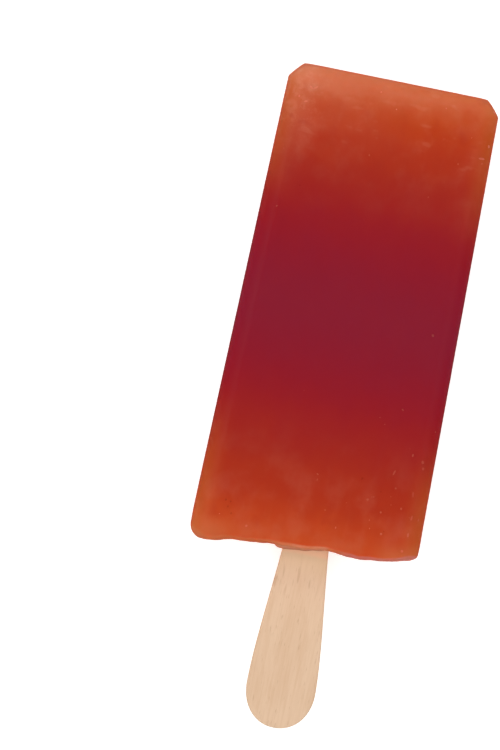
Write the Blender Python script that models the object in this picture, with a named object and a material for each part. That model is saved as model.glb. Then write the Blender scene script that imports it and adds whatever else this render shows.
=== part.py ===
"""A fruit ice lolly lying on its back: a frozen bar from a tapered mould, on a flat wooden stick.

Metres, +Z up. The bar's tip points along +Y, its back face lies on Z = 0, and the origin is
under the middle of the lolly's length and width.
"""

import math

import bmesh
import bpy
from mathutils import Vector, noise

# The whole lolly
OVERALL_LENGTH = 0.160
TIP_Y = OVERALL_LENGTH / 2
STICK_END_Y = -OVERALL_LENGTH / 2

# The frozen bar: the mould is narrower and thinner at the tip, so that the bar pulls out
BAR_LENGTH = 0.11635
BAR_END_Y = TIP_Y - BAR_LENGTH
TIP_WIDTH = 0.0519
END_WIDTH = 0.0560
TIP_THICKNESS = 0.0200
END_THICKNESS = 0.0236
LONG_EDGE_RADIUS = 0.0045
LONG_EDGE_LIMIT = 0.6  # the most of the half thickness that a long edge's radius may take
TIP_EDGE_RADIUS = 0.0040
TIP_CHAMFER = 0.0039  # along the bar
TIP_CHAMFER_WIDTH = 0.0032
TIP_CHAMFER_POWER = 1.08  # 1 is a straight chamfer and 2 a round corner
END_CORNER_RADIUS = 0.0025
END_EDGE_RADIUS = 0.0012
END_PINCH = 0.0003  # how far each side is drawn in before the corner
END_PINCH_REACH = 0.0070

# The stick end is the free surface of the juice: it froze on a slant, crowned and lumpy
END_LEVEL = -0.00042
END_SLANT = -0.058
END_CROWN = 0.0003
END_REACH = 0.016  # how far up the bar the slant and the lumps are felt
END_SWELLS = (  # across, height, spread
    (-0.0230, 0.00100, 0.0040),
    (-0.0076, -0.00030, 0.0018),
    (0.0055, -0.00050, 0.0040),
    (0.0140, 0.00055, 0.0060),
    (0.0260, -0.00080, 0.0030),
)
END_LUMP_HEIGHT = 0.00028
END_LUMP_SIZE = 0.0042

# The front face is faintly uneven
FACE_WAVE_HEIGHT = 0.00012
FACE_WAVE_SIZE = 0.0150

# Ice that climbed the stick as it froze
COLLAR_CENTRE = (-0.0003, 0.00065)  # across, and towards the tip from the bar's end
COLLAR_RADII = (0.0060, 0.00075, 0.0026)
COLLAR_LEAN = 0.13
COLLAR_LUMP = 0.16
COLLAR_LUMP_SIZE = 0.0040

# The stick: a flat wooden paddle, wide at the hand and narrow in the ice
STICK_LENGTH = 0.114
STICK_THICKNESS = 0.0020
STICK_EDGE_ROUND = 0.00035
HAND_HALF_WIDTH = 0.00847
HAND_WIDEST = 0.0097  # from the outer end
HAND_BLUNTNESS = 1.1  # 1 makes the outer end half an ellipse
NECK_HALF_WIDTH = 0.00512
NECK_START = 0.054  # from the outer end
FLARE_HANDLE = 0.012
STICK_TURN = math.radians(1.32)
STICK_END_X = 0.00197
POCKET_GAP = 0.0003

# Steps of the surfaces
EDGE_STEPS = 3
ACROSS_STEPS = 20
THICKNESS_STEPS = 4
LENGTH_STEPS = 26
BAR_TURN_STEPS = 6
FLAT_SHARE = 0.8  # share of the unit section's side that becomes the flat of a face
COLLAR_SEGMENTS = 28
COLLAR_RINGS = 14
OUTLINE_STEPS = 10
STICK_EDGE_STEPS = 1

TINY = 1e-6
ELLIPSE_HANDLE = 4 / 3 * (math.sqrt(2) - 1)  # of a radius, for a quarter of an ellipse

ICE_RED = (0.33, 0.02, 0.02, 1.0)
ICE_ROUGHNESS = 0.35
BIRCH = (0.74, 0.52, 0.33, 1.0)
BIRCH_ROUGHNESS = 0.7


def clear_scene():
    for obj in list(bpy.data.objects):
        bpy.data.objects.remove(obj, do_unlink=True)


def new_collection(name):
    collection = bpy.data.collections.new(name)
    bpy.context.scene.collection.children.link(collection)
    return collection


def principled(name, colour, roughness):
    material = bpy.data.materials.new(name)
    material.use_nodes = True
    shader = material.node_tree.nodes["Principled BSDF"]
    shader.inputs["Base Color"].default_value = colour
    shader.inputs["Roughness"].default_value = roughness
    shader.inputs["Metallic"].default_value = 0.0
    return material


def move_to(obj, collection):
    for old in list(obj.users_collection):
        old.objects.unlink(obj)
    collection.objects.link(obj)


def as_helper(obj, collection):
    obj.hide_render = True
    obj.display_type = "WIRE"
    move_to(obj, collection)
    return obj


def taper(y, at_tip, at_end):
    """A size of the bar at y, between its values at the tip and at the stick end."""
    return at_end + (at_tip - at_end) * (y - BAR_END_Y) / BAR_LENGTH


def middle_height(y):
    """Height of the bar's middle plane, which the stick lies in, also where it has left the bar."""
    return taper(y, TIP_THICKNESS, END_THICKNESS) / 2


def round_edge(depth, radius):
    """How far an edge of that radius is drawn in, at a depth from the face that it leads to."""
    left = radius - max(0.0, min(radius, depth))
    return radius - math.sqrt(radius**2 - left**2)


def tip_corner(depth):
    """How far the tip's corners are drawn in, between a chamfer and a round."""
    left = 1 - max(0.0, min(TIP_CHAMFER, depth)) / TIP_CHAMFER
    return TIP_CHAMFER_WIDTH * (1 - (1 - left**TIP_CHAMFER_POWER) ** (1 / TIP_CHAMFER_POWER))


def section(y):
    """Half width, half thickness and edge radius of the bar's section at y."""
    from_tip = TIP_Y - y
    from_end = y - BAR_END_Y
    half_width = taper(y, TIP_WIDTH, END_WIDTH) / 2
    half_width -= tip_corner(from_tip) + round_edge(from_end, END_CORNER_RADIUS)
    half_width -= END_PINCH * max(0.0, 1 - from_end / END_PINCH_REACH) ** 2
    half_thickness = middle_height(y)
    half_thickness -= round_edge(from_tip, TIP_EDGE_RADIUS) + round_edge(from_end, END_EDGE_RADIUS)
    return half_width, half_thickness, min(LONG_EDGE_RADIUS, LONG_EDGE_LIMIT * half_thickness)


def along_side(share, half_size, radius):
    """Where a share of a unit side falls on a real one, with even steps round its corners."""
    flat = half_size - radius
    if abs(share) <= FLAT_SHARE:
        return flat * share / FLAT_SHARE
    turn = (abs(share) - FLAT_SHARE) / (1 - FLAT_SHARE)
    return math.copysign(flat + radius * math.tan(turn * math.pi / 4), share)


def on_section(share_x, share_z, y):
    """A point of the unit square, moved to the rounded section of the bar at y."""
    level = max(abs(share_x), abs(share_z), TINY)
    half_width, half_thickness, radius = section(y)
    x = along_side(share_x / level, half_width, radius)
    z = along_side(share_z / level, half_thickness, radius)
    flat_x = half_width - radius
    flat_z = half_thickness - radius
    inner = Vector((max(-flat_x, min(flat_x, x)), max(-flat_z, min(flat_z, z))))
    out = Vector((x, z)) - inner
    if out.length > 0:
        out = out.normalized() * radius
    return (inner + out) * level


def end_shift(x, share_z):
    """How much longer the bar is than its nominal length, at a place on the stick end."""
    shift = END_LEVEL + END_SLANT * x - END_CROWN * share_z**2
    for place, height, spread in END_SWELLS:
        shift += height * math.exp(-(((x - place) / spread) ** 2))
    lump = noise.noise(Vector((x, share_z * END_THICKNESS / 2, 0)) / END_LUMP_SIZE)
    return shift + END_LUMP_HEIGHT * lump


def face_wave(x, y, share_z):
    """The front face's unevenness; there is none on the back, which the bar lies on."""
    wave = noise.noise(Vector((x, y, 0)) / FACE_WAVE_SIZE)
    return FACE_WAVE_HEIGHT * wave * max(0.0, share_z)


def eased_depths(radius):
    """Depths from a face of the bar, closer together where an edge of that radius turns."""
    turns = [math.pi / 2 * k / BAR_TURN_STEPS for k in range(1, BAR_TURN_STEPS + 1)]
    return [radius * (1 - math.cos(turn)) for turn in turns]


def stations():
    """The places along the bar that get a ring of points, closer together at both ends."""
    near_tip = [TIP_Y - depth for depth in eased_depths(max(TIP_CHAMFER, TIP_EDGE_RADIUS))]
    near_end = [BAR_END_Y + depth for depth in eased_depths(END_CORNER_RADIUS)]
    step = (near_tip[-1] - near_end[-1]) / LENGTH_STEPS
    between = [near_end[-1] + step * k for k in range(1, LENGTH_STEPS)]
    return near_end + between + near_tip


def side_shares(flat_steps):
    """Cuts across a unit side: even ones on the flat, then a few round each corner."""
    flat = [FLAT_SHARE * (2 * k / flat_steps - 1) for k in range(flat_steps + 1)]
    corner = [FLAT_SHARE + (1 - FLAT_SHARE) * k / EDGE_STEPS for k in range(1, EDGE_STEPS)]
    return flat + corner + [-share for share in corner]


def cut_across(mesh, places, direction):
    for place in places:
        geometry = mesh.verts[:] + mesh.edges[:] + mesh.faces[:]
        plane_co = place * Vector(direction)
        bmesh.ops.bisect_plane(mesh, geom=geometry, dist=TINY, plane_co=plane_co, plane_no=direction)


def make_bar(collection, material):
    """The frozen bar, from a cube that is cut into a grid and moved to the mould's shape."""
    bpy.ops.mesh.primitive_cube_add(size=2.0)
    bar = bpy.context.object
    bar.name = "frozen_bar"
    mesh = bmesh.new()
    mesh.from_mesh(bar.data)
    for vertex in mesh.verts:
        vertex.co.y = TIP_Y if vertex.co.y > 0 else BAR_END_Y
    cut_across(mesh, side_shares(ACROSS_STEPS), (1, 0, 0))
    cut_across(mesh, side_shares(THICKNESS_STEPS), (0, 0, 1))
    cut_across(mesh, stations(), (0, 1, 0))
    for vertex in mesh.verts:
        share_x, y, share_z = vertex.co
        x, z = on_section(share_x, share_z, y)
        felt = max(0.0, 1 - (y - BAR_END_Y) / END_REACH) ** 2
        height = middle_height(y) + z + face_wave(x, y, share_z)
        vertex.co = (x, y - felt * end_shift(x, share_z), height)
    bmesh.ops.triangulate(mesh, faces=mesh.faces[:])
    mesh.to_mesh(bar.data)
    mesh.free()
    bar.data.materials.append(material)
    bar.data.shade_smooth()
    move_to(bar, collection)
    return bar


def place_as_stick(obj):
    """A stick's own origin is its outer end; it is a little askew in the ice, as it froze."""
    slope = (TIP_THICKNESS - END_THICKNESS) / 2 / BAR_LENGTH
    obj.location = (STICK_END_X, STICK_END_Y, middle_height(STICK_END_Y))
    obj.rotation_euler = (math.atan(slope), 0, STICK_TURN)


def paddle_outline():
    """The stick's outline, as points with their tangent and the lengths of both handles."""
    hand, neck = HAND_HALF_WIDTH, NECK_HALF_WIDTH
    shoulder = STICK_LENGTH - neck
    straight = (shoulder - NECK_START) / 3
    right = [
        ((hand, HAND_WIDEST), (0, 1), ELLIPSE_HANDLE * HAND_WIDEST, FLARE_HANDLE),
        ((neck, NECK_START), (0, 1), FLARE_HANDLE, straight),
        ((neck, shoulder), (0, 1), straight, ELLIPSE_HANDLE * neck),
    ]
    left = [((-x, y), (0, -1), out, into) for (x, y), _, into, out in reversed(right)]
    outer_handle = HAND_BLUNTNESS * ELLIPSE_HANDLE * hand
    outer_end = ((0, 0), (1, 0), outer_handle, outer_handle)
    inner_end = ((0, STICK_LENGTH), (-1, 0), ELLIPSE_HANDLE * neck, ELLIPSE_HANDLE * neck)
    return [outer_end, *right, inner_end, *left]


def paddle_curve(name, collection, half_thickness, edge_round, grow):
    """A flat solid with the stick's outline, grown sideways where it is to be a pocket."""
    data = bpy.data.curves.new(name, "CURVE")
    data.dimensions = "2D"
    data.fill_mode = "BOTH"
    data.resolution_u = OUTLINE_STEPS
    data.extrude = half_thickness - edge_round
    data.bevel_depth = edge_round
    data.bevel_resolution = STICK_EDGE_STEPS
    data.offset = grow - edge_round
    outline = paddle_outline()
    spline = data.splines.new("BEZIER")
    spline.bezier_points.add(len(outline) - 1)
    spline.use_cyclic_u = True
    for point, (place, tangent, into, out) in zip(spline.bezier_points, outline):
        centre = Vector((*place, 0))
        along = Vector((*tangent, 0))
        point.handle_left_type = "FREE"
        point.handle_right_type = "FREE"
        point.co = centre
        point.handle_left = centre - along * into
        point.handle_right = centre + along * out
    obj = bpy.data.objects.new(name, data)
    collection.objects.link(obj)
    place_as_stick(obj)
    return obj


def make_stick(collection, material):
    half_thickness = STICK_THICKNESS / 2
    stick = paddle_curve("stick", collection, half_thickness, STICK_EDGE_ROUND, 0.0)
    stick.data.materials.append(material)
    return stick


def make_pocket(collection):
    """What the stick displaces in the ice, with a hair of room all round it."""
    half_thickness = STICK_THICKNESS / 2 + POCKET_GAP
    curve = paddle_curve("pocket_outline", collection, half_thickness, 0.0, POCKET_GAP)
    bpy.context.view_layer.update()
    evaluated = curve.evaluated_get(bpy.context.evaluated_depsgraph_get())
    data = bpy.data.meshes.new_from_object(evaluated)
    mesh = bmesh.new()
    mesh.from_mesh(data)
    bmesh.ops.remove_doubles(mesh, verts=mesh.verts[:], dist=TINY)
    bmesh.ops.recalc_face_normals(mesh, faces=mesh.faces[:])
    mesh.to_mesh(data)
    mesh.free()
    pocket = bpy.data.objects.new("pocket", data)
    pocket.matrix_world = curve.matrix_world
    bpy.data.objects.remove(curve, do_unlink=True)
    return as_helper(pocket, collection)


def make_collar(collection):
    """A lumpy, flattened ball of ice round the stick where it leaves the bar."""
    bpy.ops.mesh.primitive_uv_sphere_add(segments=COLLAR_SEGMENTS, ring_count=COLLAR_RINGS, radius=1)
    collar = bpy.context.object
    collar.name = "collar"
    x, y = COLLAR_CENTRE
    centre = Vector((x, BAR_END_Y + y, middle_height(BAR_END_Y)))
    for vertex in collar.data.vertices:
        place = Vector(COLLAR_RADII) * vertex.co
        swell = 1 + COLLAR_LUMP * noise.noise(place / COLLAR_LUMP_SIZE)
        vertex.co = centre + place * swell
        vertex.co.y += COLLAR_LEAN * place.x
    return as_helper(collar, collection)


def add_boolean(obj, name, other, operation):
    modifier = obj.modifiers.new(name, "BOOLEAN")
    modifier.object = other
    modifier.operation = operation
    modifier.solver = "EXACT"


def main():
    clear_scene()
    lolly = new_collection("ice_lolly")
    helpers = new_collection("helpers")
    bar = make_bar(lolly, principled("fruit_ice", ICE_RED, ICE_ROUGHNESS))
    make_stick(lolly, principled("birch", BIRCH, BIRCH_ROUGHNESS))
    add_boolean(bar, "collar", make_collar(helpers), "UNION")
    add_boolean(bar, "pocket", make_pocket(helpers), "DIFFERENCE")


main()
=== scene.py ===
"""Dresses the packed ice lolly: fruit ice of two juices on a birch stick, in a pale studio.

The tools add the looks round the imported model, which stays as it is. Everything is in metres,
in the model's own frame: the tip points along +Y, and the lolly lies on its back face at Z = 0.
"""

import math
import random

import bmesh
import bpy
from bpy.props import FloatProperty, FloatVectorProperty, IntProperty, PointerProperty
from mathutils import Euler, Matrix, Vector, noise
from mathutils.bvhtree import BVHTree
from mathutils.geometry import interpolate_bezier


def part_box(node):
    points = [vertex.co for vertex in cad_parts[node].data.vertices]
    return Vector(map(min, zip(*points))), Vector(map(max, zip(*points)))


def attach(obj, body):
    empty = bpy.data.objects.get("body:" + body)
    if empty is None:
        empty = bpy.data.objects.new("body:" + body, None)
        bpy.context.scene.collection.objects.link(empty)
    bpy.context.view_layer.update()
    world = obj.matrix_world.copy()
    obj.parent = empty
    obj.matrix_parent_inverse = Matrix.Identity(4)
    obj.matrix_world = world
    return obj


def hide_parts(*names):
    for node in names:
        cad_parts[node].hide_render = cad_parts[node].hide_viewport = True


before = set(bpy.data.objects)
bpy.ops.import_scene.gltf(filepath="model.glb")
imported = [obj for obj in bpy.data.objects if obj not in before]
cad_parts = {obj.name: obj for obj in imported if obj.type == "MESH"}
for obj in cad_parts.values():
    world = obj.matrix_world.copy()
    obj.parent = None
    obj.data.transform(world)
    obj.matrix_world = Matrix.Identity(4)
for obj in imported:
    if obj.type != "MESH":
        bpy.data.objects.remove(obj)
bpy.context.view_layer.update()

bl_info = {
    "name": "Ice Lolly Dresser",
    "version": (1, 0, 0),
    "blender": (4, 5, 0),
    "location": "3D View > Sidebar > Ice Lolly",
    "description": "Builds a packed ice lolly's fruit ice, flecks, birch stick and studio",
    "category": "Add Mesh",
}

BAR_LOW, BAR_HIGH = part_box("frozen_bar")
STICK_LOW, STICK_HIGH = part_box("stick")
TIP_Y = BAR_HIGH.y
STICK_END_Y = STICK_LOW.y
TINY = 1e-6
ELLIPSE_HANDLE = 4 / 3 * (math.sqrt(2) - 1)  # length of a curve's handle that rounds a quarter


# Settings


def from_screen(red, green, blue):
    """The linear colour of a screen colour given as 0 to 255."""
    shares = [value / 255 for value in (red, green, blue)]
    return tuple(s / 12.92 if s <= 0.04045 else ((s + 0.055) / 1.055) ** 2.4 for s in shares)


def length(name, description, default):
    return FloatProperty(
        name=name, description=description, default=default, unit="LENGTH", precision=5
    )


def factor(name, description, default, top=1.0):
    return FloatProperty(
        name=name, description=description, default=default, min=0.0, max=top, subtype="FACTOR"
    )


def colour(name, description, *screen):
    return FloatVectorProperty(
        name=name,
        description=description,
        default=from_screen(*screen),
        size=3,
        min=0.0,
        max=1.0,
        subtype="COLOR",
    )


class LollyBarSizes(bpy.types.PropertyGroup):
    """Sizes of the frozen bar."""

    length: length("Length", "From the tip to the middle of the stick end", 0.11635)
    tip_width: length("Tip width", "Width at the tip", 0.0519)
    end_width: length("End width", "Width at the stick end", 0.05594)
    tip_thickness: length("Tip thickness", "Thickness at the tip", 0.0200)
    end_thickness: length("End thickness", "Thickness at the stick end", 0.0236)
    long_edge: length("Long edge radius", "Radius of the four long edges", 0.0045)
    tip_edge: length("Tip edge radius", "Radius of the tip's front and back edge", 0.0040)
    chamfer: length("Chamfer", "Length of the tip's cut corners", 0.0039)
    chamfer_width: length("Chamfer width", "How far the cut corners reach across the tip", 0.0032)
    end_corner: length("End corner radius", "Radius of the stick end's corners", 0.0025)
    pinch: length("End pinch", "How far each side is drawn in at the stick end", 0.0003)
    end_edge: length("End edge radius", "Radius of the stick end's front and back edge", 0.0012)
    crown: length("End crown", "How far the stick end swells between front and back", 0.0003)
    lip: length("Lip", "How far the ice reaches down the stick", 0.00076)


class LollyIceColours(bpy.types.PropertyGroup):
    """Colours and clearness of the fruit ice."""

    tip: colour("Tip", "Orange at the very tip", 203, 99, 60)
    coral: colour("Coral", "Orange red below the tip", 188, 70, 31)
    vermilion: colour("Vermilion", "Where the orange turns to red", 178, 56, 27)
    # Red is also laid as painted shade: on each ripple's lower side, and on the steep sides near
    # the ends
    red: colour("Red", "Red on both sides of the middle", 166, 44, 28)
    scarlet: colour("Scarlet", "Where the two juices meet", 151, 28, 36)
    crimson: colour("Crimson", "Darkest red, in the middle", 138, 28, 47)
    end: colour("End", "Orange at the stick end", 195, 74, 33)
    # Also laid as painted light: the sheen band on the left edge, the lit side of the ripples and
    # the lightened lip
    frost_and_light: colour("Frost", "Pale frosted ice", 226, 149, 120)
    # Painted light: the pale band along the long edges, for light through the thin ice at their
    # rounding
    edge_light: colour("Amber", "Thin ice along the long edges", 192, 108, 52)
    film: colour("Film", "Thin ice on the free end and on the stick", 202, 112, 68)
    # Rime, and a painted highlight along the free end, most on its right
    rime_and_highlight: colour("Rime", "Rime on the free end", 198, 114, 112)
    # Depth is painted shade on the steep sides, and also the dark flecks' own colour
    depth: colour("Depth", "Deep juice, seen through the steep sides", 96, 24, 16)
    pulp: colour("Pulp", "Pale bits of pulp", 238, 142, 116)
    clearness: factor("Clearness", "How much light goes through the ice", 0.5)


class LollyStickSizes(bpy.types.PropertyGroup):
    """Sizes and colours of the birch stick."""

    length: length("Length", "Whole length, with what is in the ice", 0.114)
    thickness: length("Thickness", "Thickness of the wood", 0.0020)
    edge: length("Edge radius", "Radius of the tumbled edges", 0.00045)
    hand_half_width: length("Hand half width", "Half the width at the widest place", 0.00847)
    hand_widest: length("Widest place", "Distance of the widest place from the outer end", 0.0097)
    neck_half_width: length("Neck half width", "Half the width in the ice", 0.00512)
    neck_start: length("Neck start", "Where the neck begins, from the outer end", 0.054)
    flare: length("Flare", "Length of the handles of the flare's curve", 0.012)
    turn: FloatProperty(
        name="Turn",
        description="How far askew it froze",
        default=math.radians(1.32),
        subtype="ANGLE",
    )
    end_x: length("Outer end", "Where its outer end is across the lolly", 0.00197)
    wood: colour("Birch", "Bare birch", 226, 193, 162)
    grain: colour("Grain", "Darker grain of the birch", 206, 166, 130)
    streak: colour("Streaks", "Short dark streaks in the grain", 180, 138, 104)
    # Painted light beside the ice: lighter than the bare wood, against the shade that the bar casts
    # there
    painted_light: colour("Damp wood", "Frosted, damp wood beside the ice", 236, 207, 168)
    # Painted light under the ice's lip: lighter than the bare wood, against the shade there
    juice: colour("Juice", "Juice that ran onto the wood", 255, 203, 164)


class LollyFleckSettings(bpy.types.PropertyGroup):
    """Bits of pulp and ice crystals in the surface."""

    count: IntProperty(
        name="Pale flecks", description="How many pale flecks are scattered", default=90, min=0
    )
    dark_count: IntProperty(
        name="Dark flecks", description="How many dark flecks are scattered", default=14, min=0
    )
    seed: IntProperty(name="Seed", description="Start of the random draws", default=7)
    size: length("Size", "Half length of a usual scattered fleck", 0.00027)


class LollyStudioSettings(bpy.types.PropertyGroup):
    """Floor, lights and camera."""

    lens: FloatProperty(
        name="Lens", description="Focal length in millimetres", default=300.0, min=10.0
    )
    lean: FloatProperty(
        name="Lean",
        description="How far the lolly leans to the right in the picture",
        default=math.radians(11.42),
        subtype="ANGLE",
    )
    pixel: length("Pixel", "Size of a pixel on the lolly", 0.0002434)
    world: factor("World light", "Strength of the even light all round", 0.10)
    glow: factor("Table glow", "How strongly the floor is lit from within", 0.62)
    watts: FloatProperty(
        name="Softboxes", description="Power of each softbox in the ring", default=1.08, min=0.0
    )
    ceiling: FloatProperty(
        name="Ceiling", description="Power of the light overhead", default=19.6, min=0.0
    )
    floor: colour("Floor", "Pale floor", 226, 226, 225)


class LollySettings(bpy.types.PropertyGroup):
    """Everything that can be set on the lolly."""

    bar: PointerProperty(type=LollyBarSizes)
    ice: PointerProperty(type=LollyIceColours)
    stick: PointerProperty(type=LollyStickSizes)
    flecks: PointerProperty(type=LollyFleckSettings)
    studio: PointerProperty(type=LollyStudioSettings)


# Material nodes


class Wire:
    """A socket in a material's nodes. Sums on it add Math nodes."""

    def __init__(self, recipe, socket):
        self.recipe = recipe
        self.socket = socket

    def maths(self, operation, *values):
        return self.recipe.add("ShaderNodeMath", {"operation": operation}, dict(enumerate(values)))

    def __add__(self, other):
        return self.maths("ADD", self, other)

    def __radd__(self, other):
        return self.maths("ADD", other, self)

    def __sub__(self, other):
        return self.maths("SUBTRACT", self, other)

    def __rsub__(self, other):
        return self.maths("SUBTRACT", other, self)

    def __mul__(self, other):
        return self.maths("MULTIPLY", self, other)

    def __rmul__(self, other):
        return self.maths("MULTIPLY", other, self)

    def __truediv__(self, other):
        return self.maths("DIVIDE", self, other)

    def __abs__(self):
        return self.maths("ABSOLUTE", self)

    def smooth(self, low, high, at_low=0.0, at_high=1.0):
        """A soft step from at_low to at_high as the value goes from low to high."""
        inputs = {
            "Value": self,
            "From Min": low,
            "From Max": high,
            "To Min": at_low,
            "To Max": at_high,
        }
        return self.recipe.add("ShaderNodeMapRange", {"interpolation_type": "SMOOTHSTEP"}, inputs)


class Recipe:
    """A material and the nodes that are added to it."""

    MIX_INPUTS = (0, 6, 7)  # the sockets that a Mix node uses for colours
    MIX_OUTPUT = 2

    def __init__(self, name):
        self.material = bpy.data.materials.new(name)
        self.material.use_nodes = True
        self.tree = self.material.node_tree
        self.tree.nodes.clear()

    def add(self, kind, settings=None, inputs=None, output=0):
        """A new node, with its settings made first, and then its sockets set or linked."""
        node = self.tree.nodes.new(kind)
        for name, value in (settings or {}).items():
            if name == "stops":
                self.set_stops(node.color_ramp, value)
            else:
                setattr(node, name, value)
        for key, value in (inputs or {}).items():
            if isinstance(value, Wire):
                self.tree.links.new(value.socket, node.inputs[key])
            else:
                node.inputs[key].default_value = value
        return Wire(self, node.outputs[output]) if node.outputs else node

    @staticmethod
    def set_stops(ramp, stops):
        ramp.interpolation = "CARDINAL"
        while len(ramp.elements) < len(stops):
            ramp.elements.new(1.0)
        for element, (place, shade) in zip(ramp.elements, stops):
            element.position = place
            element.color = (*shade, 1.0)

    def place(self):
        return self.add("ShaderNodeTexCoord", output="Object")

    def parts(self, vector):
        """The x, y and z of a vector."""
        first = self.add("ShaderNodeSeparateXYZ", inputs={0: vector})
        return [Wire(self, socket) for socket in first.socket.node.outputs]

    def stretched(self, vector, scale, shift=(0, 0, 0)):
        inputs = {"Vector": vector, "Scale": scale, "Location": shift}
        return self.add("ShaderNodeMapping", inputs=inputs)

    def noise(self, vector, size, detail=2.0, roughness=0.5, distortion=0.0):
        inputs = {
            "Vector": vector,
            "Scale": 1 / size,
            "Detail": detail,
            "Roughness": roughness,
            "Distortion": distortion,
        }
        return self.add("ShaderNodeTexNoise", inputs=inputs)

    def cells(self, vector, size):
        """Distance from the nearest of points scattered that far apart, in cell sizes."""
        return self.add("ShaderNodeTexVoronoi", inputs={"Vector": vector, "Scale": 1 / size})

    def mix(self, share, first, second):
        """The first colour, with that share of the second laid over it."""
        shades = [shade if isinstance(shade, Wire) else (*shade, 1.0) for shade in (first, second)]
        inputs = dict(zip(self.MIX_INPUTS, (share, *shades)))
        return self.add("ShaderNodeMix", {"data_type": "RGBA"}, inputs, self.MIX_OUTPUT)

    def ramp(self, value, stops):
        return self.add("ShaderNodeValToRGB", {"stops": stops}, {0: value})

    def attribute(self, name):
        return self.add("ShaderNodeAttribute", {"attribute_name": name}, output="Fac")

    def bump(self, height, distance, strength):
        inputs = {"Height": height, "Distance": distance, "Strength": strength}
        return self.add("ShaderNodeBump", inputs=inputs)

    def finish(self, **sockets):
        """End the material in a Principled shader; a name's underscores stand for spaces."""
        inputs = {name.replace("_", " "): value for name, value in sockets.items()}
        shader = self.add("ShaderNodeBsdfPrincipled", inputs=inputs)
        self.add("ShaderNodeOutputMaterial", inputs={"Surface": shader})
        return self.material


# Shape of the frozen bar

END_LEVEL = -0.00042
END_SLANT = -0.058
END_REACH = 0.016  # how far up the bar the slant and the lumps are felt
PINCH_REACH = 0.0070
END_SWELLS = (  # across, height, spread
    (-0.0230, 0.00100, 0.0040),
    (-0.0076, -0.00030, 0.0018),
    (0.0055, -0.00050, 0.0040),
    (0.0140, 0.00055, 0.0060),
    (0.0260, -0.00080, 0.0030),
)
# Lumps of several sizes, each with its height
END_LUMPS = ((0.0042, 0.00028), (0.0016, 0.00010), (0.0007, 0.00004))
FACE_WAVES = ((0.0150, 0.00012), (0.0050, 0.00003))
SKIN_LUMPS = ((0.0035, 0.000020), (0.0014, 0.000012))
SKIN_FADE = 0.003  # the back face stays flat, so the skin's lumps start above it
LIP_CENTRE = (-0.0003, 0.00065)  # across, and towards the tip from the bar's end
LIP_RADII = (0.0060, 0.0030)  # across, and up and down
LIP_LEAN = 0.13
LIP_FULLNESS = 0.4  # 0.5 makes its outline half an ellipse
LIP_LUMP = 0.35
LIP_LUMP_SIZE = 0.0022
LIP_BLEND = 0.0004
LONG_EDGE_LIMIT = 0.6  # the most of the half thickness that a long edge's radius may take
CHAMFER_POWER = 1.08  # 1 is a straight chamfer and 2 a round corner
FLAT_SHARE = 0.8  # how much of a unit side is flat, before its corners turn

# How far a face turns from the front or to the end before it counts as steep, edge or free end
STEEPNESS = (0.40, 0.90)
EDGE_TURN = (0.02, 0.30)
FREE_END_TURN = (0.12, 0.50)


def eased_depths(radius, steps):
    """Depths from a face, closer together where an edge of that radius turns."""
    return [radius * (1 - math.cos(math.pi / 2 * k / steps)) for k in range(1, steps + 1)]


def even_places(low, high, steps):
    """Places at even steps between low and high, without either."""
    return [low + (high - low) * k / steps for k in range(1, steps)]


def side_shares(flat_steps, corner_steps):
    """Cuts across a unit side: even ones on the flat, then closer ones round each corner."""
    flat = [FLAT_SHARE * (2 * k / flat_steps - 1) for k in range(flat_steps + 1)]
    corner = [FLAT_SHARE + (1 - FLAT_SHARE) * k / corner_steps for k in range(1, corner_steps)]
    return flat + corner + [-share for share in corner]


def cut_block(low, high, shares_x, shares_z, places_y):
    """A block from low to high in Y and -1 to 1 in X and Z, cut into a grid."""
    mesh = bmesh.new()
    bmesh.ops.create_cube(mesh, size=2.0)
    for vertex in mesh.verts:
        vertex.co.y = high if vertex.co.y > 0 else low
    for places, direction in ((shares_x, (1, 0, 0)), (shares_z, (0, 0, 1)), (places_y, (0, 1, 0))):
        for place in places:
            bmesh.ops.bisect_plane(
                mesh,
                geom=mesh.verts[:] + mesh.edges[:] + mesh.faces[:],
                dist=TINY,
                plane_co=place * Vector(direction),
                plane_no=direction,
            )
    bmesh.ops.subdivide_edges(mesh, edges=mesh.edges[:], cuts=1, use_grid_fill=True)
    return mesh


def round_edge(depth, radius):
    """How far an edge of that radius is drawn in, at a depth from the face that it leads to."""
    left = radius - max(0.0, min(radius, depth))
    return radius - math.sqrt(radius**2 - left**2)


def along_side(share, half_size, radius):
    """Where a share of a unit side falls on a real one, with even steps round its corners."""
    flat = half_size - radius
    if abs(share) <= FLAT_SHARE:
        return flat * share / FLAT_SHARE
    turn = (abs(share) - FLAT_SHARE) / (1 - FLAT_SHARE)
    return math.copysign(flat + radius * math.tan(turn * math.pi / 4), share)


def on_section(share_x, share_z, half_width, half_thickness, radius):
    """A point of the unit square, moved to a rounded rectangle."""
    level = max(abs(share_x), abs(share_z), TINY)
    x = along_side(share_x / level, half_width, radius)
    z = along_side(share_z / level, half_thickness, radius)
    flat_x = half_width - radius
    flat_z = half_thickness - radius
    inner = Vector((max(-flat_x, min(flat_x, x)), max(-flat_z, min(flat_z, z))))
    out = Vector((x, z)) - inner
    if out.length > 0:
        out = out.normalized() * radius
    return (inner + out) * level


def lumps(place, layers):
    """Unevenness of several sizes at once."""
    return sum(height * noise.noise(place / size) for size, height in layers)


def soft_step(value, low, high):
    share = max(0.0, min(1.0, (value - low) / (high - low)))
    return share * share * (3 - 2 * share)


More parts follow.
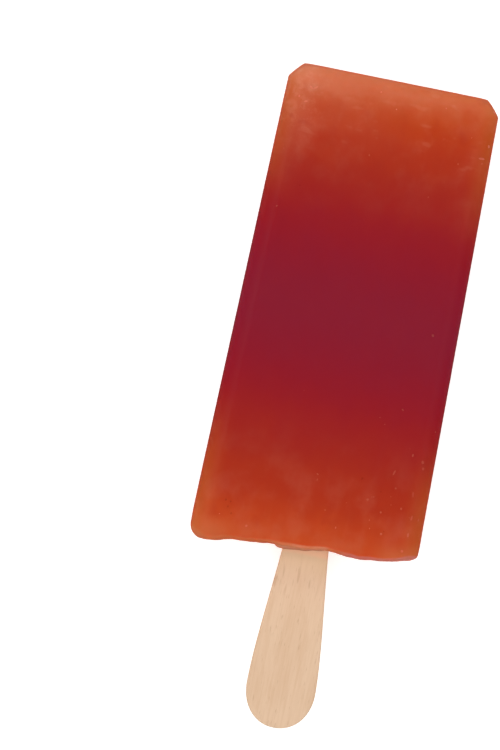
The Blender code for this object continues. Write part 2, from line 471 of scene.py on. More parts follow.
class BarShape:
    """The mould's shape and the end that froze free, worked out from the sizes."""

    def __init__(self, sizes):
        self.sizes = sizes
        self.end_y = TIP_Y - sizes.length
        self.lip_x = LIP_CENTRE[0]
        self.lip_z = self.middle(self.end_y)

    def taper(self, y, at_tip, at_end):
        return at_end + (at_tip - at_end) * (y - self.end_y) / self.sizes.length

    def middle(self, y):
        """Height of the middle plane, which the stick lies in."""
        return self.taper(y, self.sizes.tip_thickness, self.sizes.end_thickness) / 2

    def slope(self):
        """How much the middle plane rises for each metre towards the tip: less than 0."""
        return (self.sizes.tip_thickness - self.sizes.end_thickness) / 2 / self.sizes.length

    def tip_corner(self, depth):
        """How much the tip's cut corner takes off each side, at a depth from the tip."""
        left = 1 - max(0.0, min(self.sizes.chamfer, depth)) / self.sizes.chamfer
        return self.sizes.chamfer_width * (1 - (1 - left**CHAMFER_POWER) ** (1 / CHAMFER_POWER))

    def section(self, y):
        """Half width, half thickness and edge radius at y."""
        sizes = self.sizes
        from_tip = TIP_Y - y
        from_end = y - self.end_y
        half_width = self.taper(y, sizes.tip_width, sizes.end_width) / 2
        half_width -= self.tip_corner(from_tip) + round_edge(from_end, sizes.end_corner)
        half_width -= sizes.pinch * max(0.0, 1 - from_end / PINCH_REACH) ** 2
        half_thickness = self.middle(y)
        rounded = round_edge(from_tip, sizes.tip_edge) + round_edge(from_end, sizes.end_edge)
        half_thickness -= rounded
        return half_width, half_thickness, min(sizes.long_edge, LONG_EDGE_LIMIT * half_thickness)

    def end_shift(self, x, share_z):
        """How much longer the bar is than its nominal length, at a place on the stick end."""
        shift = END_LEVEL + END_SLANT * x - self.sizes.crown * share_z**2
        for place, height, spread in END_SWELLS:
            shift += height * math.exp(-(((x - place) / spread) ** 2))
        return shift + lumps(Vector((x, share_z * self.sizes.end_thickness / 2, 0)), END_LUMPS)

    def lip_shift(self, x, z):
        """The same for the ice that climbed the stick, or None away from it."""
        across = x - self.lip_x
        up = z - self.lip_z
        swell = 1 + LIP_LUMP * noise.noise(Vector((across, up, 0)) / LIP_LUMP_SIZE)
        beside = 1 - (across / LIP_RADII[0]) ** 2
        above = 1 - (up / LIP_RADII[1]) ** 2
        if min(beside, above) <= 0:
            return None
        reach = self.sizes.lip * swell * above * beside**LIP_FULLNESS
        return reach - LIP_CENTRE[1] - LIP_LEAN * across

    def place(self, share_x, y, share_z):
        """A point of the unit block, moved to the bar's surface."""
        x, z = on_section(share_x, share_z, *self.section(y))
        height = self.middle(y) + z
        felt = max(0.0, 1 - (y - self.end_y) / END_REACH) ** 2
        shift = self.end_shift(x, share_z)
        lip = self.lip_shift(x, height)
        if lip is not None:
            rise = lip - shift
            shift += (rise + math.hypot(rise, LIP_BLEND)) / 2
        wave = lumps(Vector((x, y, 0)), FACE_WAVES) * max(0.0, share_z)
        return Vector((x, y - felt * shift, height + wave))


def keep_piece(name, mesh, material, nodes=()):
    """Make a bmesh a piece of the lolly, in place of the solids that it stands for."""
    data = bpy.data.meshes.new(name)
    mesh.to_mesh(data)
    mesh.free()
    data.materials.append(material)
    data.shade_smooth()
    piece = bpy.data.objects.new(name, data)
    bpy.context.scene.collection.objects.link(piece)
    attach(piece, "root")
    if nodes:
        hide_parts(*nodes)
    return piece


# Fruit ice: each pattern's size is that of its lumps

JUICE_DRIFT_SIZE = 0.018
JUICE_DRIFT = 0.03  # how far it moves the colours, as a share of the bar's length
JUICE_SWIRL_SIZE = 0.0050
JUICE_SWIRL = 0.045
CLOUD_SIZE = 0.0060
DEEP_CLOUD_SIZE = 0.0052
STREAK_SIZE = 0.0026
HAZE_SIZE = 0.0080
MOTTLE_SIZE = 0.0021
RIPPLE_SIZE = 0.0038
RIPPLE_STEP = 0.0010  # from a ripple's painted lit side down to its painted shaded one
GRAIN_SIZE = 0.0012
FINE_SIZE = 0.0009
PIT_SIZE = 0.0030
ICE_IOR = 1.31
EDGE_LIGHT_REACH = (0.0005, 0.0062)  # how far from a long edge the painted light along it is strongest, and where it ends
LEFT_SHEEN_BAND = ((-0.0258, -0.0225), (-0.0170, -0.0205))  # a painted sheen on the left edge's rounding: its fading sides, across the tip
THIN_CORNER = (0.0150, 0.0225)  # across
THIN_CORNER_REACH = (0.0060, 0.0005)  # from the free end
THIN_CORNER_WAVE = 0.004
LIP_X = -0.0002
LIP_SIDE = (0.0045, 0.0080)  # across, from the lip's middle
LIP_RISE = (0.0080, 0.0110)  # above the back face, where its look begins
LIP_LIGHT_RISE = (0.0185, 0.0150)  # painted light on the lip, growing from the front face down into the shade between bar and stick
RIME_HIGHLIGHT_START = (0.0070, 0.0130)  # across, where the frosty grain and the painted highlight on the free end begin
ICE_BUMP = 0.00020

# Where the tip's patterns end, along the bar as a share of its length
HAZE_END = (0.030, 0.062)
VEIL_END = (0.05, 0.22)
SHEEN_BAND_END = (0.03, 0.30)
MOTTLE_END = (0.02, 0.24)
RIPPLES_END = (0.12, 0.20)


def juice_colour(recipe, place, settings):
    """The two juices running into each other along the bar, and the place along it."""
    ice = settings.ice
    _, y, _ = recipe.parts(place)
    drift = recipe.noise(place, JUICE_DRIFT_SIZE, 2.0)
    swirl = recipe.noise(recipe.stretched(place, (1.0, 0.7, 1.0)), JUICE_SWIRL_SIZE, 3.0)
    along = (TIP_Y - y) / settings.bar.length
    along = along + (drift - 0.5) * JUICE_DRIFT + (swirl - 0.5) * JUICE_SWIRL
    stops = (
        (0.017, ice.tip),
        (0.073, ice.coral),
        (0.126, ice.vermilion),
        (0.195, ice.red),
        (0.31, ice.scarlet),
        (0.50, ice.crimson),
        (0.69, ice.scarlet),
        (0.815, ice.red),
        (0.905, ice.vermilion),
        (0.98, ice.end),
    )
    return recipe.ramp(along, stops), along


class IceLook:
    """The fruit ice's material: patterns laid one after another over the two juices."""

    # A share under 1 draws a pattern out along that axis
    SQUAT = (1.0, 0.8, 1.0)
    LENGTHWISE = (1.0, 0.18, 1.0)
    RIPPLED = (0.8, 1.3, 1.0)

    def __init__(self, settings):
        self.ice = settings.ice
        self.sizes = settings.bar
        self.recipe = Recipe("fruit_ice")
        self.place = self.recipe.place()
        self.x, self.y, self.z = self.recipe.parts(self.place)
        self.shade, self.along = juice_colour(self.recipe, self.place, settings)
        self.ends = self.along.smooth(0.10, 0.34, 1.0, 0.0) + self.along.smooth(0.70, 0.92)
        self.cloud = self.stretched_noise(self.SQUAT, CLOUD_SIZE, 3.0, 0.55)
        self.grain = self.recipe.noise(self.place, GRAIN_SIZE, 3.0)
        self.free_end = self.recipe.attribute("free_end")
        beside = abs(self.x - LIP_X).smooth(*LIP_SIDE, 1.0, 0.0)
        self.on_lip = beside * self.z.smooth(*LIP_RISE)
        upper = self.stretched_noise(self.RIPPLED, RIPPLE_SIZE, 1.0)
        lower = self.stretched_noise(self.RIPPLED, RIPPLE_SIZE, 1.0, shift=(0, RIPPLE_STEP, 0))
        melted = self.along.smooth(*RIPPLES_END, 1.0, 0.0)
        self.ripples = (upper - lower) * melted * self.cloud.smooth(0.38, 0.55)

    def stretched_noise(self, scale, size, detail, roughness=0.5, shift=(0, 0, 0)):
        vector = self.recipe.stretched(self.place, scale, shift)
        return self.recipe.noise(vector, size, detail, roughness)

    def lay(self, share, shade):
        self.shade = self.recipe.mix(share, self.shade, shade)

    def lay_clouds(self):
        """Soft cloudy patches and a few lengthwise streaks, strongest where the juice is thin."""
        streak = self.stretched_noise(self.LENGTHWISE, STREAK_SIZE, 2.0)
        pale = self.cloud.smooth(0.42, 0.72) * 0.08 + streak.smooth(0.50, 0.75) * 0.02
        self.lay(pale * (self.ends * 0.9 + 0.03), self.ice.frost_and_light)
        deep = self.stretched_noise(self.SQUAT, DEEP_CLOUD_SIZE, 2.0).smooth(0.55, 0.80)
        self.lay(deep * self.ends * 0.30, self.ice.red)

    def lay_edge_light(self):
        """Painted light along the rounded long edges: a paler band, for light that comes through
        the thin ice and catches their rounding.
        """
        taper = (self.sizes.end_width - self.sizes.tip_width) / 2 / self.sizes.length
        half_width = self.sizes.tip_width / 2 + (TIP_Y - self.y) * taper
        edge = (half_width - abs(self.x)).smooth(*EDGE_LIGHT_REACH, 1.0, 0.0)
        self.lay(edge * self.ends * 0.30, self.ice.edge_light)

    def lay_haze(self):
        """The tip is hazy down to a wavy line, most on its left, where a pale band runs on: a
        painted sheen on the left edge's rounding.
        """
        wave = self.stretched_noise((1.0, 1.5, 1.0), HAZE_SIZE, 3.0, 0.6)
        hazed = self.along + (wave - 0.5) * 0.12
        haze = hazed.smooth(*HAZE_END, 1.0, 0.0) * self.x.smooth(0.028, -0.022, 0.35, 1.0)
        veil = hazed.smooth(*VEIL_END, 1.0, 0.0) * self.x.smooth(0.014, -0.022)
        # painted sheen on the left edge's rounding
        outer, inner = (self.x.smooth(*side) for side in LEFT_SHEEN_BAND)
        band = inner * outer * self.along.smooth(*SHEEN_BAND_END, 1.0, 0.0)
        mottle = self.recipe.noise(self.place, MOTTLE_SIZE, 3.0, 0.7).smooth(0.46, 0.68)
        left = self.x.smooth(-0.0130, -0.0200)
        mottled = mottle * left * self.along.smooth(*MOTTLE_END, 1.0, 0.0)
        self.lay(haze * 0.10 + veil * 0.11 + band * 0.10 + mottled * 0.14, self.ice.frost_and_light)

    def lay_ripple_shading(self):
        """Short ripples lie across the tip, where it began to melt, with painted light on their
        upper side and painted shade on their lower side.
        """
        # painted light on each ripple's upper side, then painted shade on its lower side
        self.lay(self.ripples.smooth(0.04, 0.18) * 0.10, self.ice.frost_and_light)
        below = self.ripples.smooth(-0.04, -0.18) * self.along.smooth(0.06, 0.12)
        self.lay(below * 0.22, self.ice.red)

    def lay_corners(self):
        """Both corners at the stick end are thin."""
        end_y = TIP_Y - self.sizes.length - END_LEVEL
        to_end = self.y + self.x * END_SLANT - end_y + (self.cloud - 0.5) * THIN_CORNER_WAVE
        corner = abs(self.x).smooth(*THIN_CORNER) * to_end.smooth(*THIN_CORNER_REACH)
        self.lay(corner * 0.50, self.ice.film)

    def lay_free_end(self):
        """The free end is thin and glowing, frosted and lit by painted light on the lip, and rimed,
        with a painted highlight, towards the right.
        """
        glow = self.along.smooth(0.945, 0.99) * self.cloud.smooth(0.35, 0.65) * 0.14
        thin = self.free_end * (self.on_lip * 0.40 + 0.50)
        self.lay(thin + glow * (1 - self.free_end), self.ice.film)
        # Rime with a painted highlight on the free end, growing towards the right
        rime_and_highlight = self.free_end * (self.grain * 0.5 + 0.35)
        self.lay(rime_and_highlight * self.x.smooth(*RIME_HIGHLIGHT_START, 0.05, 0.95), self.ice.rime_and_highlight)
        frosted = self.grain * self.x.smooth(-0.0060, 0.0010, 0.25, 0.80)
        # painted light: lighter further down the lip, in the shade between the bar and the stick
        frosted = frosted + self.z.smooth(*LIP_LIGHT_RISE, 0.0, 0.50)
        self.lay(self.free_end * self.on_lip * frosted, self.ice.frost_and_light)

    def lay_side_shade(self):
        """Painted shade: the steep sides are darkened, towards deep brown red in the middle and red
        at the ends, less on the free end and least on its lip.
        """
        deep = self.recipe.mix(self.ends, self.ice.depth, self.ice.red)
        steep = self.recipe.attribute("steep") * (1 - self.free_end * 0.6)
        steep = steep * (1 - self.free_end * self.on_lip * 0.7)
        self.lay(steep * (self.cloud * 0.3 + 0.35), deep)

    def finish(self):
        recipe = self.recipe
        fine = recipe.noise(self.place, FINE_SIZE, 3.0, 0.6)
        pits = recipe.cells(self.place, PIT_SIZE).smooth(0.05, 0.22)
        height = fine * 0.25 + self.cloud * 0.9 + pits * 0.20 + self.ripples * 0.25
        height = height + self.free_end * self.grain * 0.8
        return recipe.finish(
            Base_Color=self.shade,
            Roughness=fine * 0.12 + self.free_end * 0.2 + 0.32,
            Normal=recipe.bump(height, ICE_BUMP, 0.30),
            IOR=ICE_IOR,
            Specular_IOR_Level=0.0,
            Coat_Weight=(1 - recipe.attribute("edge")) * 0.30 + 0.05,
            Coat_Roughness=0.35,
            Coat_IOR=1.33,
            Subsurface_Weight=self.ice.clearness,
            Subsurface_Radius=(1.0, 0.32, 0.18),
            Subsurface_Scale=0.003,
        )


def fruit_ice_material(settings):
    look = IceLook(settings)
    look.lay_clouds()
    look.lay_edge_light()
    look.lay_haze()
    look.lay_ripple_shading()
    look.lay_corners()
    look.lay_free_end()
    look.lay_side_shade()
    return look.finish()


BAR_FLAT_STEPS = 40
BAR_SIDE_STEPS = 12
BAR_CORNER_STEPS = 5
BAR_LENGTH_STEPS = 84
BAR_TURN_STEPS = 8


class LOLLY_OT_fruit_ice(bpy.types.Operator):
    """Build the fruit ice, with its uneven end, in place of the frozen bar's solid"""

    bl_idname = "lolly.fruit_ice"
    bl_label = "Fruit ice"

    def execute(self, context):
        settings = context.scene.lolly
        shape = BarShape(settings.bar)
        tip_turn = max(settings.bar.chamfer, settings.bar.tip_edge)
        near_tip = [TIP_Y - depth for depth in eased_depths(tip_turn, BAR_TURN_STEPS)]
        end_depths = eased_depths(settings.bar.end_corner, BAR_TURN_STEPS)
        near_end = [shape.end_y + depth for depth in end_depths]
        even = even_places(near_end[-1], near_tip[-1], BAR_LENGTH_STEPS)
        places = near_end + even + near_tip
        shares_x = side_shares(BAR_FLAT_STEPS, BAR_CORNER_STEPS)
        shares_z = side_shares(BAR_SIDE_STEPS, BAR_CORNER_STEPS)
        mesh = cut_block(shape.end_y, TIP_Y, shares_x, shares_z, places)
        for vertex in mesh.verts:
            vertex.co = shape.place(*vertex.co)
        mesh.normal_update()
        steep = mesh.verts.layers.float.new("steep")
        edge = mesh.verts.layers.float.new("edge")
        free_end = mesh.verts.layers.float.new("free_end")
        depth = sum(height for _, height in SKIN_LUMPS)
        for vertex in mesh.verts:
            vertex[steep] = soft_step(1 - abs(vertex.normal.z), *STEEPNESS)
            vertex[edge] = soft_step(1 - abs(vertex.normal.z), *EDGE_TURN)
            vertex[free_end] = soft_step(-vertex.normal.y, *FREE_END_TURN)
            skin = lumps(vertex.co, SKIN_LUMPS) - depth
            vertex.co += vertex.normal * skin * soft_step(vertex.co.z, 0.0, SKIN_FADE)
        keep_piece("fruit_ice", mesh, fruit_ice_material(settings), ["frozen_bar"])
        return {"FINISHED"}


# Flecks in the ice

FLECK_SUBDIVISIONS = 2
FLECK_SINK = 0.6  # how much of its height lies in the ice
FLECK_FLATNESS = 0.35
FLECK_SPREAD = 0.35  # how much the scattered ones differ in size
FLECK_SLIMNESS = (0.4, 0.9)
FLECK_TURN = 0.5
FLECK_GRAIN_SIZE = 0.0008
PALE_SPREAD_SIZE = 0.0020
DARK_SPREAD_SIZE = 0.0015
FLECKS_HIGH = (0.04, 0.30)  # along the bar, from many to few
FLECKS_LOW = (0.66, 0.90)
FLECKS_RIGHT = (-0.005, 0.024)  # across
FLECK_SIDES = (  # share of the flecks, and the way from which they are laid on the ice
    (0.30, (0, 0, 1)),
    (0.25, (1, 0, 0)),
    (0.25, (-1, 0, 0)),
    (0.20, (0, -1, 0)),
)
PALE_FLECKS_SEEN = (  # across, from the tip, half length, half width, turn
    # The first two, crossed near the tip's left corner, are pale flecks and also a painted
    # highlight: a small bright glint there
    (-0.0200, 0.0058, 0.00070, 0.00030, 2.2),
    (-0.0189, 0.0057, 0.00090, 0.00028, 0.9),
    (-0.0206, 0.0094, 0.00060, 0.00030, 1.2),
    (0.0239, 0.0146, 0.00085, 0.00034, 1.5),
    (0.0185, 0.0170, 0.00026, 0.00025, 0.0),
    (0.0217, 0.0883, 0.00048, 0.00025, 0.1),
    (0.0248, 0.0910, 0.00048, 0.00031, 0.0),
    (0.0181, 0.0933, 0.00090, 0.00028, 0.3),
    (0.0192, 0.0969, 0.00034, 0.00031, 0.0),
    (0.0236, 0.0976, 0.00090, 0.00028, -0.1),
    (0.0131, 0.1009, 0.00043, 0.00039, 0.8),
    (0.0144, 0.1000, 0.00031, 0.00022, 1.0),
    (0.0168, 0.1033, 0.00036, 0.00036, 0.0),
    (0.0244, 0.1032, 0.00084, 0.00031, 0.1),
    (0.0179, 0.1084, 0.00038, 0.00039, 0.0),
    (0.0243, 0.1074, 0.00072, 0.00031, 0.0),
    (0.0237, 0.1115, 0.00041, 0.00039, 0.0),
    (-0.0144, 0.1129, 0.00041, 0.00034, 0.6),
    (0.0002, 0.0986, 0.00041, 0.00017, 0.2),
    (0.0035, 0.1054, 0.00036, 0.00020, 1.3),
)
DARK_FLECKS_SEEN = (
    (0.0108, 0.0962, 0.00043, 0.00031, 0.5),
    (0.0158, 0.0984, 0.00026, 0.00025, 0.0),
    (-0.0205, 0.1077, 0.00034, 0.00028, 0.3),
    (-0.0193, 0.1079, 0.00030, 0.00026, 0.9),
    (-0.0197, 0.1092, 0.00036, 0.00026, 0.0),
    (-0.0186, 0.1107, 0.00038, 0.00028, 0.4),
)


def pale_fleck_material(settings):
    recipe = Recipe("pale_fleck")
    place = recipe.place()
    shade, along = juice_colour(recipe, place, settings)
    spread = recipe.noise(place, PALE_SPREAD_SIZE, 1.0)
    near_ends = along.smooth(0.02, 0.20, 0.40, 0.0) + along.smooth(0.88, 0.98) * 0.20
    pale = spread * 0.24 + 0.07 + near_ends
    return recipe.finish(
        Base_Color=recipe.mix(pale, shade, settings.ice.pulp),
        Roughness=recipe.noise(place, FLECK_GRAIN_SIZE, 2.0) * 0.2 + 0.3,
        IOR=ICE_IOR,
        Specular_IOR_Level=0.15,
        Subsurface_Weight=0.3,
        Subsurface_Radius=(1.0, 0.5, 0.3),
        Subsurface_Scale=0.001,
    )


def dark_fleck_material(settings):
    recipe = Recipe("dark_fleck")
    place = recipe.place()
    shade, _ = juice_colour(recipe, place, settings)
    depth = recipe.noise(place, DARK_SPREAD_SIZE, 1.0)
    return recipe.finish(
        Base_Color=recipe.mix(depth * 0.3 + 0.08, shade, settings.ice.depth),
        Roughness=recipe.noise(place, FLECK_GRAIN_SIZE, 2.0) * 0.2 + 0.35,
        Specular_IOR_Level=0.05,
    )


def fleck_density(place, pale):
    """How likely a fleck is kept there: few in the crimson middle, most low on the right."""
    along = (TIP_Y - place.y) / (BAR_HIGH.y - BAR_LOW.y)
    low = soft_step(along, *FLECKS_LOW)
    high = 1 - soft_step(along, *FLECKS_HIGH)
    if not pale:
        return 0.15 + 0.85 * low
    right = soft_step(place.x, *FLECKS_RIGHT)
    return 0.02 + low * (0.12 + 0.88 * right) + 0.20 * high


def add_fleck(mesh, place, normal, turn, radii):
    """A flattened lump, sunk in the surface so that only its crown shows."""
    forward = Vector((math.sin(turn), math.cos(turn), 0))
    side = forward.cross(normal)
    if side.length < TINY:
        side = Vector((1, 0, 0))
    side.normalize()
    axes = Matrix((side, normal.cross(side), normal)).transposed()
    matrix = Matrix.Translation(place - normal * radii[2] * FLECK_SINK) @ axes.to_4x4()
    matrix = matrix @ Matrix.Diagonal((*radii, 1))
    bmesh.ops.create_icosphere(mesh, subdivisions=FLECK_SUBDIVISIONS, radius=1.0, matrix=matrix)


def ice_surface():
    """The finished ice, to lay flecks on."""
    ice = bpy.data.objects["fruit_ice"]
    return BVHTree.FromObject(ice, bpy.context.evaluated_depsgraph_get())


def lay_fleck(mesh, surface, start, way, half_length, half_width, turn):
    """Lay a fleck on the ice from outside, along a way; False if it falls past."""
    out = Vector(way)
    place, normal, _, _ = surface.ray_cast(start + out * (BAR_HIGH - BAR_LOW).length, -out)
    if place is None:
        return False
    add_fleck(mesh, place, normal, turn, (half_width, half_length, half_width * FLECK_FLATNESS))
    return True


def lay_seen_flecks(mesh, surface, flecks):
    for across, from_tip, half_length, half_width, turn in flecks:
        start = Vector((across, TIP_Y - from_tip, 0))
        lay_fleck(mesh, surface, start, (0, 0, 1), half_length, half_width, turn)


def scatter_flecks(mesh, surface, count, seed, size, pale):
    """Lay flecks on the ice from several sides, by a seeded draw."""
    draw = random.Random(seed)
    shares, ways = zip(*FLECK_SIDES)
    made = 0
    while made < count:
        way = draw.choices(ways, shares)[0]
        start = Vector([draw.uniform(low, high) for low, high in zip(BAR_LOW, BAR_HIGH)])
        if draw.random() > fleck_density(start, pale):
            continue
        half_length = size * draw.lognormvariate(0, FLECK_SPREAD)
        half_width = half_length * draw.uniform(*FLECK_SLIMNESS)
        turn = draw.gauss(0, FLECK_TURN)
        made += lay_fleck(mesh, surface, start, way, half_length, half_width, turn)


class LOLLY_OT_flecks(bpy.types.Operator):
    """Lay bits of pulp and ice crystals in the ice's surface"""

    bl_idname = "lolly.flecks"
    bl_label = "Flecks"

    def execute(self, context):
        settings = context.scene.lolly
        flecks = settings.flecks
        surface = ice_surface()
        pale = bmesh.new()
        lay_seen_flecks(pale, surface, PALE_FLECKS_SEEN)
        scatter_flecks(pale, surface, flecks.count, flecks.seed, flecks.size, True)
        keep_piece("pale_flecks", pale, pale_fleck_material(settings))
        dark = bmesh.new()
        lay_seen_flecks(dark, surface, DARK_FLECKS_SEEN)
        scatter_flecks(dark, surface, flecks.dark_count, flecks.seed + 1, flecks.size, False)
        keep_piece("dark_flecks", dark, dark_fleck_material(settings))
        return {"FINISHED"}


# Birch stick

STICK_FLAT_STEPS = 20
STICK_SIDE_STEPS = 2
STICK_CORNER_STEPS = 2
STICK_LENGTH_STEPS = 70
STICK_TURN_STEPS = 12
HAND_BLUNTNESS = 1.1  # 1 makes its end half an ellipse
PROFILE_STEPS = 40
EDGE_LIMIT = 0.7  # the most of a half width or thickness that an edge's radius may take
GRAIN_STRETCH = 0.03
GRAIN_LUMPS = ((0.0005, 0.000012), (0.0016, 0.000020))
FIBRE_SIZE = 0.00042
BAND_SIZE = 0.0045
RAY_SIZE = 0.00026
DENT_SIZE = 0.0012
BIRCH_BUMP = 0.00006
DENTS_FROM = (-0.0110, -0.0070)  # towards the tip from the bar's end, as are the next three
DENTS_TO = (0.0, -0.0030)
PAINTED_LIGHT_FROM = (-0.0060, 0.0015)
UNDER_LIP_LIGHT_FROM = (0.0004, 0.0018)


def paddle_profile(sizes):
    """Points of half the stick's outline, from the outer end to the inner one."""
    hand, neck = sizes.hand_half_width, sizes.neck_half_width
    shoulder = sizes.length - neck
    straight = Vector((0, (shoulder - sizes.neck_start) / 3))
    flare = Vector((0, sizes.flare))
    knots = (  # place, handle into it, handle out of it
        (Vector((0, 0)), None, Vector((HAND_BLUNTNESS * ELLIPSE_HANDLE * hand, 0))),
        (Vector((hand, sizes.hand_widest)), Vector((0, ELLIPSE_HANDLE * sizes.hand_widest)), flare),
        (Vector((neck, sizes.neck_start)), flare, straight),
        (Vector((neck, shoulder)), straight, Vector((0, ELLIPSE_HANDLE * neck))),
        (Vector((0, sizes.length)), Vector((-ELLIPSE_HANDLE * neck, 0)), None),
    )
    points = []
    for (start, _, out), (end, into, _) in zip(knots, knots[1:]):
        points += interpolate_bezier(start, start + out, end - into, end, PROFILE_STEPS)[:-1]
    return [*points, knots[-1][0]]


def half_width_at(profile, y):
    """Half the stick's width at a distance from its outer end."""
    for low, high in zip(profile, profile[1:]):
        if low.y <= y <= high.y and high.y > low.y:
            return low.x + (high.x - low.x) * (y - low.y) / (high.y - low.y)
    return 0.0


def birch_material(settings):
    stick = settings.stick
    recipe = Recipe("birch")
    place = recipe.place()
    _, y, _ = recipe.parts(place)

    def lengthwise(share, size, detail, roughness=0.5, distortion=0.0):
        vector = recipe.stretched(place, (1.0, share, 1.0))
        return recipe.noise(vector, size, detail, roughness, distortion)

    def from_bar(places):
        low, high = places
        return y.smooth(BAR_LOW.y + low, BAR_LOW.y + high)

    fibre = lengthwise(0.035, FIBRE_SIZE, 3.0, 0.6, 0.3)
    band = lengthwise(0.25, BAND_SIZE, 3.0, 0.6, 0.6)
    ray = lengthwise(0.09, RAY_SIZE, 1.0).smooth(0.66, 0.76)
    grain = fibre.smooth(0.35, 0.75) * 0.26 + band.smooth(0.40, 0.70) * 0.26
    shade = recipe.mix(grain, stick.wood, stick.grain)
    shade = recipe.mix(ray * 0.35, shade, stick.streak)

    # Short dark dents, a little way from the ice
    dents = lengthwise(0.14, DENT_SIZE, 1.0).smooth(0.58, 0.68)
    dents = dents * from_bar(DENTS_FROM) * from_bar(DENTS_TO)
    shade = recipe.mix(dents * 0.36, shade, stick.streak)

    # Painted light: the wood is lightened beside the ice, against the shade that the bar casts on
    # it, and more under the lip
    painted_light = from_bar(PAINTED_LIGHT_FROM) * (band * 0.3 + 0.7)
    shade = recipe.mix(painted_light * 0.80, shade, stick.painted_light)
    # painted light under the lip, against the shade there
    shade = recipe.mix(from_bar(UNDER_LIP_LIGHT_FROM) * 0.65, shade, stick.juice)
    return recipe.finish(
        Base_Color=shade,
        Roughness=fibre * 0.15 + 0.55,
        Normal=recipe.bump(fibre * 0.6 + ray * -0.8, BIRCH_BUMP, 0.5),
        Specular_IOR_Level=0.35,
    )


class LOLLY_OT_birch_stick(bpy.types.Operator):
    """Build the birch stick, with its grain, in place of the stick's solid"""

    bl_idname = "lolly.birch_stick"
    bl_label = "Birch stick"

    def execute(self, context):
        settings = context.scene.lolly
        sizes = settings.stick
        shape = BarShape(settings.bar)
        profile = paddle_profile(sizes)
        near_hand = eased_depths(sizes.hand_widest, STICK_TURN_STEPS)
        inner_depths = eased_depths(sizes.neck_half_width, STICK_TURN_STEPS)
        near_inner = [sizes.length - depth for depth in inner_depths]
        even = even_places(near_hand[-1], near_inner[-1], STICK_LENGTH_STEPS)
        places = near_hand + even + near_inner
        shares_x = side_shares(STICK_FLAT_STEPS, STICK_CORNER_STEPS)
        shares_z = side_shares(STICK_SIDE_STEPS, STICK_CORNER_STEPS)
        mesh = cut_block(0.0, sizes.length, shares_x, shares_z, places)
        for vertex in mesh.verts:
            share_x, y, share_z = vertex.co
            half_width = half_width_at(profile, y)
            half_thickness = sizes.thickness / 2 - round_edge(min(y, sizes.length - y), sizes.edge)
            radius = min(sizes.edge, EDGE_LIMIT * half_width, EDGE_LIMIT * half_thickness)
            x, z = on_section(share_x, share_z, half_width, half_thickness, radius)
            z += share_z * lumps(Vector((x, y * GRAIN_STRETCH, 0)), GRAIN_LUMPS)
            vertex.co = (x, y, z)
        bmesh.ops.remove_doubles(mesh, verts=mesh.verts[:], dist=TINY)
        pitch = math.atan(shape.slope())
        turn = Euler((pitch, 0, sizes.turn)).to_matrix().to_4x4()
        start = Matrix.Translation((sizes.end_x, STICK_END_Y, shape.middle(STICK_END_Y)))
        bmesh.ops.transform(mesh, matrix=start @ turn, verts=mesh.verts[:])
        reach = STICK_END_Y - min(vertex.co.y for vertex in mesh.verts)
        bmesh.ops.translate(mesh, vec=(0, reach, 0), verts=mesh.verts[:])
        keep_piece("birch_stick", mesh, birch_material(settings), ["stick"])
        return {"FINISHED"}


# Studio

PHOTO_WIDTH = 500
PHOTO_HEIGHT = 750
TIP_PIXEL = Vector((396.2, 81.7))  # the middle of the tip's edge
SHARP_HEIGHT = 0.012  # the height at which a pixel has its size
SENSOR = 36.0
FLOOR_RADIUS = 3.0
FLOOR_SIDES = 96
FLOOR_GRAIN_SIZE = 0.004
WHITE = (1.0, 1.0, 1.0, 1.0)
SOFTBOXES = 5
SOFTBOX_DISTANCE = 0.95
SOFTBOX_SIZE = 0.55
SOFTBOX_HEIGHT = math.radians(50)  # above the horizon, seen from the lolly
KEY_BEARING = math.radians(130)  # the strongest softbox is behind the tip's left corner
KEY_GAIN = 0.5
CEILING_HEIGHT = 1.8
CEILING_SIZE = 1.4


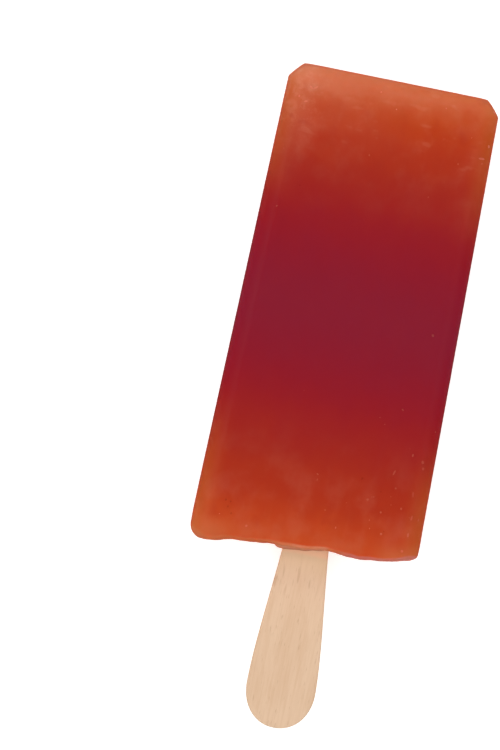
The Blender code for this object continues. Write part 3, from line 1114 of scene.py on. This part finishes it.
class LOLLY_OT_studio(bpy.types.Operator):
    """Lay the pale floor, hang the softboxes and set up the camera"""

    bl_idname = "lolly.studio"
    bl_label = "Studio"

    def execute(self, context):
        studio = context.scene.lolly.studio
        self.lay_floor(studio)
        self.light_world(context.scene, studio)
        for number in range(SOFTBOXES):
            bearing = KEY_BEARING + math.tau * number / SOFTBOXES
            way = Vector((math.cos(bearing), math.sin(bearing), math.tan(SOFTBOX_HEIGHT)))
            way.normalize()
            watts = studio.watts * (1 + KEY_GAIN * math.cos(bearing - KEY_BEARING))
            self.hang_light("softbox", way * SOFTBOX_DISTANCE, SOFTBOX_SIZE, watts)
        overhead = Vector((0, 0, CEILING_HEIGHT))
        ceiling = self.hang_light("ceiling", overhead, CEILING_SIZE, studio.ceiling)
        ceiling.visible_glossy = False  # so that it lays no shine on the ice
        self.place_camera(context.scene, studio)
        context.scene.view_settings.view_transform = "Standard"
        return {"FINISHED"}

    def lay_floor(self, studio):
        recipe = Recipe("floor")
        grain = recipe.noise(recipe.place(), FLOOR_GRAIN_SIZE, 2.0)
        recipe.finish(
            Base_Color=(*studio.floor, 1.0),
            Roughness=grain * 0.1 + 0.75,
            Specular_IOR_Level=0.2,
            Emission_Color=WHITE,
            Emission_Strength=studio.glow,
        )
        mesh = bmesh.new()
        bmesh.ops.create_circle(mesh, cap_ends=True, segments=FLOOR_SIDES, radius=FLOOR_RADIUS)
        data = bpy.data.meshes.new("floor")
        mesh.to_mesh(data)
        mesh.free()
        data.materials.append(recipe.material)
        floor = bpy.data.objects.new("floor", data)
        bpy.context.scene.collection.objects.link(floor)

    def light_world(self, scene, studio):
        """A dim room, with a white wall behind whatever is seen past the floor."""
        world = bpy.data.worlds.new("studio")
        world.use_nodes = True
        nodes = world.node_tree.nodes
        background = nodes["Background"]
        background.inputs["Color"].default_value = WHITE
        wall = nodes.new("ShaderNodeMix")
        wall.inputs["A"].default_value = studio.world
        wall.inputs["B"].default_value = 1.0
        rays = nodes.new("ShaderNodeLightPath")
        links = world.node_tree.links
        links.new(rays.outputs["Is Camera Ray"], wall.inputs["Factor"])
        links.new(wall.outputs["Result"], background.inputs["Strength"])
        scene.world = world

    def hang_light(self, name, place, size, watts):
        light = bpy.data.lights.new(name, "AREA")
        light.shape = "SQUARE"
        light.size = size
        light.energy = watts
        lamp = bpy.data.objects.new(name, light)
        lamp.location = place
        lamp.rotation_euler = place.to_track_quat("Z", "Y").to_euler()
        bpy.context.scene.collection.objects.link(lamp)
        return lamp

    def place_camera(self, scene, studio):
        """Straight above, turned so that the lolly leans and lies where the photograph has it."""
        data = bpy.data.cameras.new("camera")
        data.lens = studio.lens
        data.sensor_width = SENSOR
        camera = bpy.data.objects.new("camera", data)
        right = Vector((math.cos(studio.lean), math.sin(studio.lean)))
        up = Vector((-right.y, right.x))
        from_middle = TIP_PIXEL - Vector((PHOTO_WIDTH, PHOTO_HEIGHT)) / 2
        middle = Vector((0, TIP_Y)) - (right * from_middle.x - up * from_middle.y) * studio.pixel
        distance = PHOTO_HEIGHT * studio.pixel * studio.lens / SENSOR
        camera.location = (*middle, SHARP_HEIGHT + distance)
        camera.rotation_euler = (0, 0, studio.lean)
        scene.collection.objects.link(camera)
        scene.camera = camera


# Panel and start


class LOLLY_PT_panel(bpy.types.Panel):
    """Lists the lolly's tools and settings"""

    bl_label = "Ice Lolly"
    bl_space_type = "VIEW_3D"
    bl_region_type = "UI"
    bl_category = "Ice Lolly"

    def draw(self, context):
        settings = context.scene.lolly
        for tool in TOOLS:
            self.layout.operator(tool.bl_idname)
        for name in settings.bl_rna.properties.keys():
            group = getattr(settings, name, None)
            if isinstance(group, bpy.types.PropertyGroup):
                box = self.layout.box()
                box.label(text=group.bl_rna.name)
                for item in group.__annotations__:
                    box.prop(group, item)


GROUPS = (
    LollyBarSizes,
    LollyIceColours,
    LollyStickSizes,
    LollyFleckSettings,
    LollyStudioSettings,
    LollySettings,
)
TOOLS = (LOLLY_OT_fruit_ice, LOLLY_OT_flecks, LOLLY_OT_birch_stick, LOLLY_OT_studio)


def register():
    for item in (*GROUPS, *TOOLS, LOLLY_PT_panel):
        bpy.utils.register_class(item)
    bpy.types.Scene.lolly = PointerProperty(type=LollySettings)


def unregister():
    del bpy.types.Scene.lolly
    for item in reversed((*GROUPS, *TOOLS, LOLLY_PT_panel)):
        bpy.utils.unregister_class(item)


def main():
    register()
    bpy.ops.lolly.fruit_ice()
    bpy.ops.lolly.flecks()
    bpy.ops.lolly.birch_stick()
    bpy.ops.lolly.studio()


if __name__ == "__main__":
    main()
